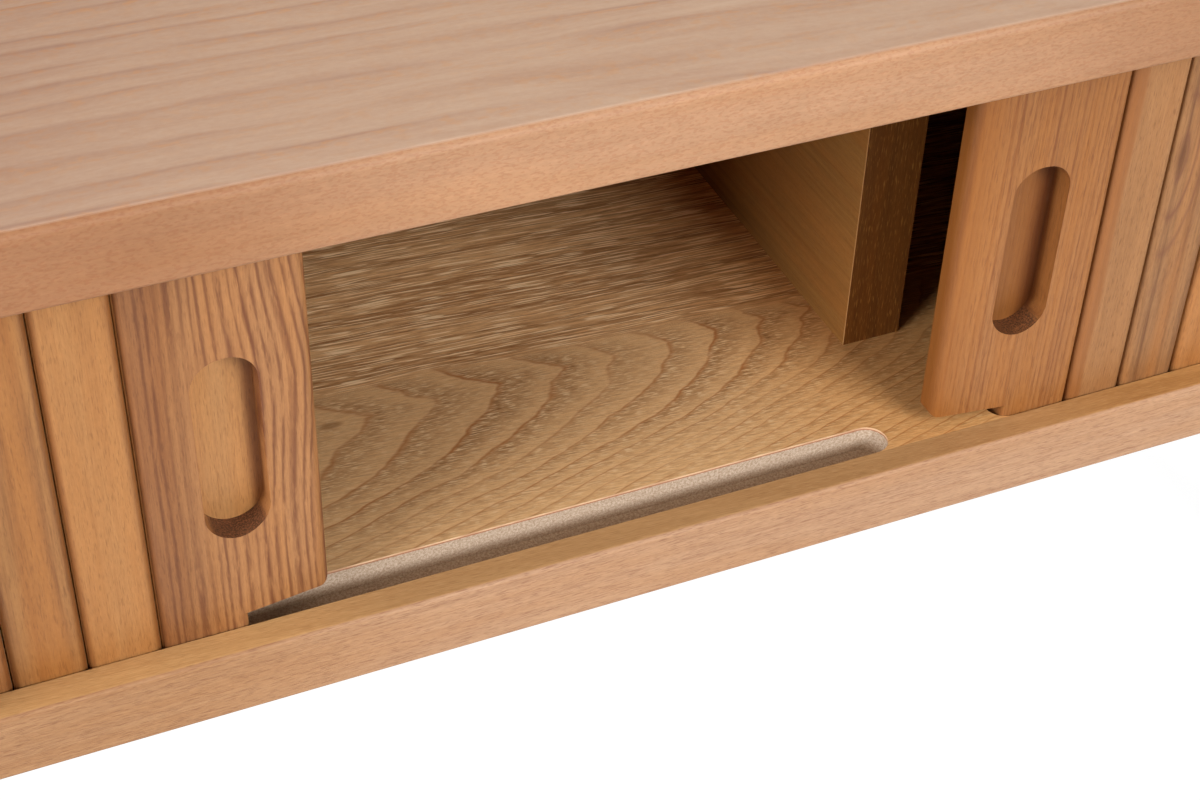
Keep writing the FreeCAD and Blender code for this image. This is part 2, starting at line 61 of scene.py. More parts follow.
# ---- node graph helper ---------------------------------------------------------------------------
class Graph:
    """One material's node tree. Every method that makes a node returns its output socket."""

    def __init__(self, name):
        self.material = bpy.data.materials.new(name)
        self.material.use_nodes = True
        self.tree = self.material.node_tree
        self.tree.nodes.clear()
        self.output = self.tree.nodes.new("ShaderNodeOutputMaterial")
        self.shader = self.tree.nodes.new("ShaderNodeBsdfPrincipled")
        self.tree.links.new(self.shader.outputs[0], self.output.inputs["Surface"])
        self.coordinates = None
        self.geometry = None

    def put(self, value, socket):
        """Links a socket, or sets a constant: a number or a colour."""
        if isinstance(value, bpy.types.NodeSocket):
            self.tree.links.new(value, socket)
        elif isinstance(value, tuple):
            socket.default_value = (*value, 1.0)
        else:
            socket.default_value = value

    def math(self, operation, *values, clamp=False):
        """One arithmetic step."""
        node = self.tree.nodes.new("ShaderNodeMath")
        node.operation = operation
        node.use_clamp = clamp
        for socket, value in zip(node.inputs, values):
            self.put(value, socket)
        return node.outputs[0]

    def add(self, a, b):
        return self.math("ADD", a, b)

    def sub(self, a, b):
        return self.math("SUBTRACT", a, b)

    def mul(self, a, b):
        return self.math("MULTIPLY", a, b)

    def abs(self, a):
        return self.math("ABSOLUTE", a)

    def position(self):
        """Object position in millimetres, as three sockets."""
        if self.coordinates is None:
            where = self.tree.nodes.new("ShaderNodeTexCoord").outputs["Object"]
            scaled = self.tree.nodes.new("ShaderNodeVectorMath")
            scaled.operation = "SCALE"
            scaled.inputs["Scale"].default_value = 1 / MM
            self.put(where, scaled.inputs[0])
            split = self.tree.nodes.new("ShaderNodeSeparateXYZ")
            self.put(scaled.outputs[0], split.inputs[0])
            self.coordinates = list(split.outputs)
        return self.coordinates

    def normal(self):
        """The true face normal, as three sockets."""
        if self.geometry is None:
            where = self.tree.nodes.new("ShaderNodeNewGeometry").outputs["True Normal"]
            split = self.tree.nodes.new("ShaderNodeSeparateXYZ")
            self.put(where, split.inputs[0])
            self.geometry = list(split.outputs)
        return self.geometry

    def vector(self, x, y, z):
        """Three values joined to one vector."""
        node = self.tree.nodes.new("ShaderNodeCombineXYZ")
        for socket, value in zip(node.inputs, (x, y, z)):
            self.put(value, socket)
        return node.outputs[0]

    def noise(self, vector, detail=2.0, roughness=0.5):
        """Noise between 0 and 1, whose coarsest features are one unit wide."""
        node = self.tree.nodes.new("ShaderNodeTexNoise")
        self.put(vector, node.inputs["Vector"])
        node.inputs["Scale"].default_value = 1.0
        node.inputs["Detail"].default_value = detail
        node.inputs["Roughness"].default_value = roughness
        node.inputs["Distortion"].default_value = 0.0
        return node.outputs[0]

    def line_noise(self, value, rate, offset, second=0.0, **settings):
        """Noise along one value, with its rate per unit of that value."""
        return self.noise(self.vector(self.mul(value, rate), offset, second), **settings)

    def face_noise(self, a, b, a_rate, b_rate, offset, **settings):
        """Noise over two coordinates, each with its own rate per millimetre."""
        return self.noise(self.vector(self.mul(a, a_rate), self.mul(b, b_rate), offset), **settings)

    def solid_noise(self, rates, **settings):
        """Noise through the solid, with a rate per millimetre along x, y and z."""
        scaled = [self.mul(place, rate) for place, rate in zip(self.position(), rates)]
        return self.noise(self.vector(*scaled), **settings)

    def fall(self, value, low, high):
        """1 up to low, falling smoothly to 0 at high."""
        return self.sub(1.0, self.smooth(value, low, high))

    def smooth(self, value, low, high, out_low=0.0, out_high=1.0):
        """A smooth step from out_low at low to out_high at high."""
        node = self.tree.nodes.new("ShaderNodeMapRange")
        node.interpolation_type = "SMOOTHSTEP"
        for name, item in (("Value", value), ("From Min", low), ("From Max", high),
                           ("To Min", out_low), ("To Max", out_high)):
            self.put(item, node.inputs[name])
        return node.outputs[0]

    def ramp(self, value, stops):
        """A grey curve through (place, level) stops."""
        node = self.tree.nodes.new("ShaderNodeValToRGB")
        self.put(value, node.inputs[0])
        elements = node.color_ramp.elements
        while len(elements) < len(stops):
            elements.new(0.5)
        for element, (place, level) in zip(elements, stops):
            element.position = place
            element.color = (level, level, level, 1.0)
        return node.outputs[0]

    def mix(self, factor, a, b, blend="MIX"):
        """Colour a, turned to b by a factor."""
        node = self.tree.nodes.new("ShaderNodeMix")
        node.data_type = "RGBA"
        node.blend_type = blend
        self.put(factor, node.inputs[0])
        self.put(a, node.inputs[6])
        self.put(b, node.inputs[7])
        return node.outputs[2]

    def mix_value(self, factor, a, b):
        """Value a, turned to b by a factor."""
        return self.add(a, self.mul(factor, self.sub(b, a)))

    def grey(self, value):
        """A colour with one level in all three channels."""
        node = self.tree.nodes.new("ShaderNodeCombineColor")
        for socket in node.inputs[:3]:
            self.put(value, socket)
        return node.outputs[0]

    def bump(self, height, strength, distance):
        """A normal bent by a height."""
        node = self.tree.nodes.new("ShaderNodeBump")
        node.inputs["Strength"].default_value = strength
        node.inputs["Distance"].default_value = distance
        self.put(height, node.inputs["Height"])
        return node.outputs[0]

    def finish(self, colour, roughness, normal=None, specular=0.5, **constants):
        """Sets the shader and returns the material."""
        self.put(colour, self.shader.inputs["Base Color"])
        self.put(roughness, self.shader.inputs["Roughness"])
        self.shader.inputs["Specular IOR Level"].default_value = specular
        for name, value in constants.items():
            self.shader.inputs[name.replace("_", " ")].default_value = value
        if normal is not None:
            self.put(normal, self.shader.inputs["Normal"])
        return self.material


def srgb(red, green, blue):
    """A 0-255 display colour as linear light."""
    def linear(level):
        level /= 255.0
        return level / 12.92 if level <= 0.04045 else ((level + 0.055) / 1.055) ** 2.4
    return (linear(red), linear(green), linear(blue))


# ---- wood ----------------------------------------------------------------------------------------
GRAIN_STRENGTH = 0.4     # of the grain's relief
GRAIN_DEPTH = 0.10 * MM

WOOD_DEFAULTS = dict(
    along="Z",               # axis of the grain
    light=(205, 148, 98),    # early wood
    dark=(158, 98, 58),      # late wood and darker fibres
    pore=(124, 72, 38),      # open pores
    warm=(206, 134, 70),     # the hue that broad bands lean to
    ring_width=6.0,          # mm between growth lines
    ring_centre=(0.0, 200.0),  # pith: mm across the board and mm through it, in the desk's frame
    taper=0.02,              # how fast the rings run out along the grain
    warp=2.4,                # mm of slow waver in the rings
    warp_length=160.0,       # mm, length of that waver along the grain
    ring_strength=0.4,
    ring_edge=0.88,          # where in a ring the late wood is darkest
    fibre_strength=0.46,
    fibre_width=0.50,        # mm
    streak_strength=0.5,
    streak_width=2.6,        # mm
    warm_strength=0.35,
    pore_strength=0.34,
    pore_size=0.30,          # mm across
    pore_length=3.6,         # mm along
    pore_cover=0.56,         # higher leaves fewer pores
    mottle=0.05,
    grit=0.30,               # how strongly the finest fleck shows
    roughness=0.48,
    end_level=0.64,          # how light the end grain is
    tone=(0.68, 0.66, 0.61),  # how much of each channel's light the lacquered wood gives back
    seed=0.0,
)


def shade(colour, tone):
    """A display colour as linear light, times a tone."""
    return tuple(level * part for level, part in zip(srgb(*colour), tone))


def grain_axes(g, along):
    """Position along the grain, across it and through it, in millimetres."""
    order = {"X": (0, 1, 2), "Y": (1, 2, 0), "Z": (2, 0, 1)}[along]
    xyz = g.position()
    return [xyz[i] for i in order]


def grain_noise(g, axes, seed, lengthwise, across, **settings):
    """Noise stretched along the grain, in features lengthwise mm long and across mm wide."""
    rates = (1 / lengthwise, 1 / across, 1 / across)
    shifts = (seed * 1.37, seed * 0.71, seed * 2.13)
    places = [g.add(g.mul(*pair), shift) for pair, shift in zip(zip(axes, rates), shifts)]
    return g.noise(g.vector(*places), **settings)


def ring_distance(g, axes, p):
    """Distance from the pith in millimetres, wavering as a real trunk does."""
    u, v, w = axes
    dv = g.sub(v, p["ring_centre"][0])
    dw = g.sub(w, p["ring_centre"][1])
    radius = g.math("SQRT", g.add(g.mul(dv, dv), g.mul(dw, dw)))
    length = p["warp_length"]
    slow = g.sub(grain_noise(g, axes, p["seed"], length, length / 4, detail=1.0), 0.5)
    quick = g.sub(grain_noise(g, axes, p["seed"] + 5, 30.0, 6.0), 0.5)
    waver = g.add(g.mul(slow, 2 * p["warp"]), g.mul(quick, 0.30 * p["warp"]))
    return g.add(g.add(radius, g.mul(u, p["taper"])), waver)


def ring_level(g, distance, p):
    """0 in early wood, rising to 1 in the late wood toward each ring's end. No two are equal."""
    uneven = g.line_noise(distance, 0.35 / p["ring_width"], p["seed"])
    turns = g.add(g.mul(distance, 1 / p["ring_width"]), g.mul(uneven, 1.9))
    edge = p["ring_edge"]
    level = g.ramp(g.math("FRACT", turns), [
        (0.0, 0.25), (0.12, 0.0), (edge * 0.6, 0.22), (edge, 1.0), (1.0, 0.25)])
    own = g.line_noise(g.math("FLOOR", turns), 0.63, p["seed"], 5.0, detail=0.0)
    return g.mul(level, g.smooth(own, 0.25, 0.65, 0.35, 1.0))


def wood_layers(g, p, rings=None):
    """Colour, pore mask and fibre level of a wood."""
    axes = grain_axes(g, p["along"])
    if rings is None:
        rings = ring_level(g, ring_distance(g, axes, p), p)
    seed = p["seed"]
    fibre = grain_noise(g, axes, seed + 11, 15.0, p["fibre_width"], detail=3.0, roughness=0.65)
    streak = grain_noise(g, axes, seed + 23, 80.0, p["streak_width"], detail=2.5, roughness=0.6)
    band = grain_noise(g, axes, seed + 71, 120.0, 8.0, detail=1.0)
    pore_noise = grain_noise(g, axes, seed + 31, p["pore_length"], p["pore_size"], detail=1.0)
    pores = g.smooth(pore_noise, p["pore_cover"], p["pore_cover"] + 0.14)
    mottle = grain_noise(g, axes, seed + 47, 45.0, 14.0)

    dark_amount = g.mul(rings, p["ring_strength"])
    dark_amount = g.add(dark_amount, g.mul(g.sub(fibre, 0.5), p["fibre_strength"] * 2.4))
    dark_amount = g.add(dark_amount, g.mul(g.sub(streak, 0.5), p["streak_strength"] * 2.0))
    dark_amount = g.math("ADD", dark_amount, 0.22, clamp=True)
    tone = p["tone"]
    colour = g.mix(dark_amount, shade(p["light"], tone), shade(p["dark"], tone))
    warmth = g.mul(g.smooth(band, 0.35, 0.70), p["warm_strength"])
    colour = g.mix(warmth, colour, shade(p["warm"], tone))
    colour = g.mix(g.mul(pores, p["pore_strength"]), colour, shade(p["pore"], tone))
    grit = grain_noise(g, axes, seed + 59, 1.9, 0.60, roughness=0.6)
    level = g.add(1.0 - p["mottle"] - 0.5 * p["grit"], g.mul(mottle, 2 * p["mottle"]))
    level = g.add(level, g.mul(grit, p["grit"]))
    colour = tint(g, colour, 1.0, g.grey(level))
    return colour, pores, fibre


def tint(g, colour, amount, tone):
    """The colour with a share of it multiplied by a tone."""
    return g.mix(amount, colour, tone, blend="MULTIPLY")


def grain_height(g, fibre, pores):
    """Relief of a wood face: fibres stand, pores sink."""
    return g.sub(g.mul(fibre, 0.5), g.mul(pores, 0.8))


def grain_bump(g, height):
    """The grain's relief as a bent normal."""
    return g.bump(height, GRAIN_STRENGTH, GRAIN_DEPTH)


def wood_surface(g, p, colour, pores, fibre):
    """Satin lacquer over slightly open grain."""
    height = grain_height(g, fibre, pores)
    rough = g.add(p["roughness"] - 0.04, g.mul(fibre, 0.10))
    return g.finish(colour, rough, grain_bump(g, height), specular=0.35)


def end_grain(g, axis, along_face, p):
    """Colour and mask of the faces that cut across the grain: dark, with pores as dots."""
    dots = g.solid_noise((1.9, 1.9, 1.9), detail=3.0, roughness=0.75)
    deep = tuple(0.70 * p["end_level"] * level for level in p["dark"])
    pale = tuple(1.25 * p["end_level"] * level for level in p["dark"])
    colour = g.mix(g.smooth(dots, 0.36, 0.60), srgb(*pale), srgb(*deep))
    mask = g.smooth(g.abs(g.normal()[axis]), 0.45, 0.75)
    return g.mix(mask, along_face, colour)


def wood(name, **settings):
    """A solid wood, with the defaults for whatever isn't set."""
    p = dict(WOOD_DEFAULTS, **settings)
    g = Graph(name)
    colour, pores, fibre = wood_layers(g, p)
    axis = "XYZ".index(p["along"])
    return wood_surface(g, p, end_grain(g, axis, colour, p), pores, fibre)


# ---- the slats -----------------------------------------------------------------------------------
# The six narrow slats in view, each of its own board. The rest take one of the plain tones.
SLAT_LOOKS = {
    "left_slat_01": dict(
        light=(206, 145, 88), dark=(170, 110, 62), ring_strength=0.15, ring_width=5.0,
        tone=(0.68, 0.68, 0.63)),
    "left_slat_02": dict(
        light=(192, 135, 84), dark=(142, 88, 52), ring_strength=0.45, ring_width=3.4,
        streak_strength=0.8, warm_strength=0.55, tone=(0.68, 0.66, 0.55)),
    "left_slat_03": dict(light=(200, 138, 84), dark=(156, 98, 54)),
    "right_slat_01": dict(
        light=(202, 150, 102), dark=(158, 108, 66), ring_strength=0.1, pore_strength=0.4,
        warm_strength=0.15, tone=(0.62, 0.56, 0.47)),
    "right_slat_02": dict(
        light=(198, 144, 94), dark=(138, 90, 56), ring_strength=0.6, ring_width=5.0,
        warm_strength=0.6, streak_strength=0.8, tone=(0.62, 0.60, 0.56)),
    "right_slat_03": dict(light=(206, 142, 84), dark=(164, 104, 54)),
}
PLAIN_TONES = [
    dict(light=(204, 144, 88), dark=(162, 104, 60)),
    dict(light=(196, 138, 88), dark=(148, 92, 54), ring_strength=0.45),
    dict(light=(208, 150, 96), dark=(170, 112, 66), ring_strength=0.2),
    dict(light=(200, 138, 82), dark=(152, 94, 50)),
]


def slat_look(node, number):
    """Settings of one narrow slat: a plain tone and rings of its own, then what the photo shows."""
    low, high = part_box(node)
    middle = (low.x + high.x) / 2 / MM
    dice = random.Random(number)
    look = dict(dice.choice(PLAIN_TONES))
    look["ring_width"] = dice.uniform(3.0, 7.0)
    look["taper"] = dice.uniform(-0.03, 0.03)
    look["ring_centre"] = (
        middle + dice.choice((-1, 1)) * dice.uniform(15, 70), dice.uniform(-190, -150))
    look.setdefault("ring_strength", 0.3)
    look.update(SLAT_LOOKS.get(node, {}))
    return dict(WOOD_DEFAULTS, seed=3.0 * number, **look)


def painted_joint_shade_and_light(g, colour, amount):
    """Painted shade over the slats' rounded arrises, and painted light on the side faces deep in
    the joints, where shade falls.
    """
    side = g.abs(g.normal()[0])
    arris = g.mul(g.smooth(side, 0.25, 0.7), g.fall(side, 0.95, 0.99))
    # Painted shade on the rounded arrises.
    colour = tint(g, colour, g.mul(arris, amount), (0.72, 0.62, 0.52))
    # Painted light: the side faces in the joints made pale, so the shaded joints look less dark.
    return g.mix(
        g.mul(g.mul(g.smooth(side, 0.97, 0.995), amount), 0.85), colour, srgb(250, 206, 150))


def slat_material(node, number):
    """One narrow slat's wood, with the marks that the photo shows on it."""
    p = slat_look(node, number)
    g = Graph(node + "_wood")
    colour, pores, fibre = wood_layers(g, p)
    x, _, z = g.position()
    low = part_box(node)[0].x / MM
    if node == "right_slat_01":
        # Painted shade: a darker stripe up its left edge, the rounded flank that turns away from
        # the lamps.
        waver = g.sub(g.line_noise(z, 0.03, 1.0, detail=1.0), 0.5)
        painted_flank_shade = g.fall(g.add(g.sub(x, low), g.mul(waver, 2.0)), 3.4, 5.2)
        colour = g.mix(g.mul(painted_flank_shade, 0.75), colour, shade((176, 112, 58), p["tone"]))
    # Painted shade on the arrises and painted light in the joints of the left door's slats.
    if node.startswith("left"):
        colour = painted_joint_shade_and_light(g, colour, 1.0)
    if node == "right_slat_02":
        colour = knot_swirl(g, colour, low + 3.0, floor_z + 84.0)
    return wood_surface(g, p, end_grain(g, 2, colour, p), pores, fibre)


def knot_swirl(g, colour, knot_x, knot_z):
    """A pin knot and the dark lines that stream away below it to the right."""
    x, _, z = g.position()
    dx = g.sub(x, knot_x)
    dz = g.sub(z, knot_z)
    near = g.math("SQRT", g.add(g.mul(g.mul(dx, dx), 0.5), g.mul(g.mul(dz, dz), 0.03)))
    eye = g.fall(near, 0.4, 1.6)
    swirl = g.ramp(g.math("FRACT", g.mul(near, 0.42)), [
        (0.0, 0.0), (0.35, 0.1), (0.55, 1.0), (0.75, 0.1), (1.0, 0.0)])
    reach = g.mul(g.fall(near, 4.0, 11.0), g.smooth(dx, -3.0, 1.0))
    colour = g.mix(g.mul(g.mul(swirl, reach), 0.7), colour, srgb(112, 66, 44))
    return g.mix(g.mul(eye, 0.7), colour, srgb(96, 56, 30))


FIXED_SLAT_PITCH = 20.0  # mm from one fixed slat to the next
FIXED_SLAT_JOINT = 0.5   # mm between two fixed slats


def fixed_slat_material(name, seed):
    """One material for a row of slats, each with its own tone and its own stretch of grain."""
    p = dict(WOOD_DEFAULTS, seed=seed, ring_width=4.5)
    g = Graph(name)
    x, y, z = g.position()
    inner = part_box("right_fixed_slats")[0].x / MM
    beyond = g.sub(g.abs(x), inner - FIXED_SLAT_JOINT / 2)
    number = g.math("FLOOR", g.mul(beyond, 1 / FIXED_SLAT_PITCH))
    shift = g.mul(number, 37.0)
    g.coordinates = [g.add(x, g.mul(number, 13.0)), g.add(y, shift), g.add(z, g.mul(shift, 5.0))]
    p["ring_centre"] = (0.0, -900.0)
    colour, pores, fibre = wood_layers(g, p)
    tone = g.line_noise(number, 1.7, seed, detail=0.0)
    colour = tint(g, colour, 1.0, g.grey(g.add(0.80, g.mul(tone, 0.42))))
    return wood_surface(g, p, end_grain(g, 2, colour, p), pores, fibre)


# ---- the lead slats ------------------------------------------------------------------------------
RECESS_INSET = 23.9      # mm from a lead slat's leading edge to the middle of its finger recess


def recess_mask(g):
    """1 on the floor of a finger recess, which lies deeper in the board."""
    y = g.position()[1]
    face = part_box("right_lead_slat")[0].y / MM
    return g.smooth(y, face + 5.0, face + 7.5)


def painted_recess_shadow(g, colour, middle, start):
    """Painted shadow on the recess floor, darker toward its right wall, which shades it from the
    lamp on the right.
    """
    x = g.position()[0]
    depth = g.mul(g.smooth(g.sub(x, middle), start, 7.6), recess_mask(g))
    return tint(g, colour, depth, (0.52, 0.40, 0.32))


def left_lead_material():
    """Strong purple-brown growth lines that swing round the finger recess."""
    p = dict(
        WOOD_DEFAULTS, light=(206, 146, 96), dark=(156, 98, 62), seed=61.0, fibre_strength=0.40,
        streak_strength=0.30, warm_strength=0.30, pore_strength=0.3, tone=(0.71, 0.70, 0.63))
    g = Graph("left_lead_wood")
    x, y, z = g.position()
    low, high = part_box("left_lead_slat")
    across = g.sub(x, low.x / MM)
    up = g.sub(z, floor_z)
    lean = g.smooth(across, 12.0, 34.0)
    swing = g.sub(g.smooth(up, 30.0, 82.0), g.mul(g.smooth(up, 78.0, 125.0), 1.5))
    waver = g.sub(g.solid_noise((0.05, 0.06, 0.014), detail=1.5), 0.5)
    quick = g.sub(g.solid_noise((0.35, 0.3, 0.10)), 0.5)
    line_place = g.sub(across, g.mul(g.mul(swing, lean), 2.6))
    line_place = g.add(g.add(line_place, g.mul(waver, 2.6)), g.mul(quick, 0.55))
    uneven = g.line_noise(line_place, 0.16, 4.2)
    turns = g.add(g.mul(line_place, 1 / 2.7), g.mul(uneven, 2.4))
    lines = g.ramp(g.math("FRACT", turns), [
        (0.0, 0.20), (0.15, 0.0), (0.44, 0.0), (0.66, 1.0), (0.76, 1.0), (1.0, 0.20)])
    own = g.line_noise(g.math("FLOOR", turns), 0.71, 2.0, detail=0.0)
    broken = g.noise(
        g.vector(g.mul(line_place, 0.8), g.mul(y, 0.2), g.mul(z, 0.09)), detail=3.0, roughness=0.6)
    calm = g.fall(g.abs(g.sub(across, 14.5)), 2.0, 6.0)
    calm = g.mul(calm, g.fall(g.abs(g.sub(up, 62.0)), 25.0, 50.0))
    darker_zone = g.fall(g.abs(g.sub(g.add(across, g.mul(waver, 8.0)), 5.5)), 2.5, 7.0)
    strength = g.mul(g.smooth(broken, 0.27, 0.54), g.smooth(own, 0.30, 0.62, 0.40, 1.0))
    strength = g.mul(
        strength, g.mul(g.smooth(across, 10.0, 26.0, 0.70, 1.0), g.sub(1.0, g.mul(calm, 0.6))))
    plain = g.sub(1.0, recess_mask(g))
    rings = g.mul(g.mul(lines, strength), plain)
    colour, pores, fibre = wood_layers(g, p, g.mul(rings, 0.9))
    colour = g.mix(g.mul(rings, 0.72), colour, shade((112, 54, 30), p["tone"]))
    colour = tint(g, colour, g.mul(g.fall(across, 10.0, 30.0), plain), (0.82, 0.79, 0.75))
    colour = tint(g, colour, g.mul(darker_zone, plain), (0.80, 0.74, 0.72))
    colour = tint(g, colour, recess_mask(g), (1.25, 1.34, 1.30))
    # Painted shadow in the finger recess.
    colour = painted_recess_shadow(g, colour, high.x / MM - RECESS_INSET, 4.4)
    # Painted shade and light at the lead's trailing joint.
    colour = painted_joint_shade_and_light(g, colour, g.fall(across, 1.0, 2.0))
    return wood_surface(g, p, end_grain(g, 2, colour, p), pores, fibre)


def right_lead_material():
    """Close straight grain with faint lines, warmer toward the leading edge."""
    p = dict(
        WOOD_DEFAULTS, light=(202, 140, 90), dark=(164, 100, 56), seed=83.0, ring_width=1.9,
        ring_centre=(260.0, -190.0), taper=0.012, warp=0.6, ring_strength=0.80, fibre_strength=0.50,
        fibre_width=0.6, streak_strength=0.40, pore_strength=0.36, pore_length=6.0, pore_size=0.36,
        pore_cover=0.54, warm_strength=0.5, pore=(130, 70, 38), tone=(0.60, 0.57, 0.45))
    g = Graph("right_lead_wood")
    colour, pores, fibre = wood_layers(g, p)
    x = g.position()[0]
    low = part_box("right_lead_slat")[0]
    warm = g.fall(g.sub(x, low.x / MM), 1.0, 11.0)
    colour = g.mix(g.mul(warm, 0.6), colour, shade((184, 112, 46), p["tone"]))
    # Painted shade on the leading flank, which turns away from the key lamp.
    flank = g.smooth(g.abs(g.normal()[0]), 0.4, 0.8)
    colour = tint(g, colour, flank, (0.84, 0.80, 0.74))
    upper = g.smooth(g.position()[2], floor_z + 50.0, floor_z + 110.0)
    colour = tint(g, colour, upper, (0.92, 0.90, 0.82))
    colour = g.mix(g.mul(recess_mask(g), 0.55), colour, shade((172, 106, 50), p["tone"]))
    # Painted shadow in the finger recess.
    colour = painted_recess_shadow(g, colour, low.x / MM + RECESS_INSET, 0.5)
    return wood_surface(g, p, end_grain(g, 2, colour, p), pores, fibre)


# ---- veneered panels -----------------------------------------------------------------------------
VENEER = 0.6             # mm thick
GLUE_LINE = 1.0          # mm below a panel's face, where the stain of the glue ends
STRIP_SKIN = 0.35        # mm below a strip's face that still show the face's figure


def board_core(g, seed):
    """Pressed fibre board, as the grooves show it."""
    x, y, z = g.position()
    speck = g.noise(
        g.vector(g.mul(x, 1.3), g.mul(y, 1.3), g.add(g.mul(z, 1.3), seed)), detail=4.0,
        roughness=0.8)
    return g.mix(g.smooth(speck, 0.34, 0.66), srgb(170, 142, 116), srgb(214, 194, 172))


def veneer_mask(g, low_z, high_z):
    """1 on the panel's two large faces, 0 on its edges and in its grooves."""
    z = g.position()[2]
    flat = g.smooth(g.abs(g.normal()[2]), 0.4, 0.6)
    near_top = g.math("GREATER_THAN", z, high_z - VENEER)
    near_foot = g.math("LESS_THAN", z, low_z + VENEER)
    return g.mul(flat, g.math("MAXIMUM", near_top, near_foot))


def veneer_edge(g, core, low_z, high_z):
    """The veneer's pale edge, partly a painted highlight, and the glue line in a groove's wall,
    with painted shade toward its foot.
    """
    z = g.position()[2]
    depth = g.math("MINIMUM", g.abs(g.sub(z, high_z)), g.abs(g.sub(z, low_z)))
    glue = g.math("LESS_THAN", depth, GLUE_LINE)
    pale = g.math("LESS_THAN", depth, VENEER)
    # Painted shade, darker toward the groove's foot.
    core = tint(g, core, g.smooth(depth, 4.0, 9.0), (0.56, 0.46, 0.36))
    core = g.mix(g.mul(glue, 0.8), core, srgb(170, 96, 52))
    # The pale veneer edge, made brighter to stand also for a painted highlight along the groove's
    # arris.
    x = g.position()[0]
    worn = g.smooth(g.line_noise(x, 0.09, 4.0, 1.0), 0.35, 0.65, 0.45, 0.95)
    return g.mix(g.mul(pale, worn), core, srgb(244, 206, 164))


# Left of the middle, arch n's tip lies at FIRST_APEX + n * FIRST_SPACING - n * n * SPACING_LOSS.
FIRST_APEX = -164.3      # mm along the desk
FIRST_SPACING = 23.2     # mm
SPACING_LOSS = 0.5       # mm
RIGHT_SPACING = 14.5     # mm between the tips right of the desk's middle
APEX_DEPTH = 82.0        # mm behind the front, where the arches' tips lie
ARCH_CURVE = 44.0        # mm ahead of the tips, over which the arches' sides curve
FLOOR_KNOT = (-175.0, 82.0)  # mm along the desk and behind the front


def floor_figure(g):
    """Ring count of the floor's flat-cut veneer, its arches' tips to the right, and the depth."""
    x, y = g.position()[:2]
    depth = g.sub(y, front_y)
    wobble = g.sub(g.face_noise(x, y, 0.035, 0.085, 3.0, detail=3.0), 0.5)
    ahead = g.math("MAXIMUM", g.sub(APEX_DEPTH, depth), 0.0)
    near = g.math("MINIMUM", ahead, ARCH_CURVE)
    beyond = g.math("MAXIMUM", g.sub(ahead, ARCH_CURVE), 0.0)
    cube = g.mul(g.mul(near, near), near)
    spread = g.add(g.add(g.mul(near, 0.75), g.mul(cube, 0.00048)), g.mul(beyond, 3.2))
    behind = g.math("MAXIMUM", g.sub(depth, APEX_DEPTH), 0.0)
    place = g.add(g.add(g.add(x, spread), g.mul(behind, 1.1)), g.mul(wobble, 13.0))
    early = g.math("MINIMUM", place, 0.0)
    late = g.math("MAXIMUM", place, 0.0)
    start = FIRST_SPACING ** 2 + 4 * SPACING_LOSS * FIRST_APEX
    root = g.math("SQRT", g.sub(start, g.mul(early, 4 * SPACING_LOSS)))
    count = g.mul(g.sub(FIRST_SPACING, root), 1 / (2 * SPACING_LOSS))
    return g.add(count, g.mul(late, 1 / RIGHT_SPACING)), depth


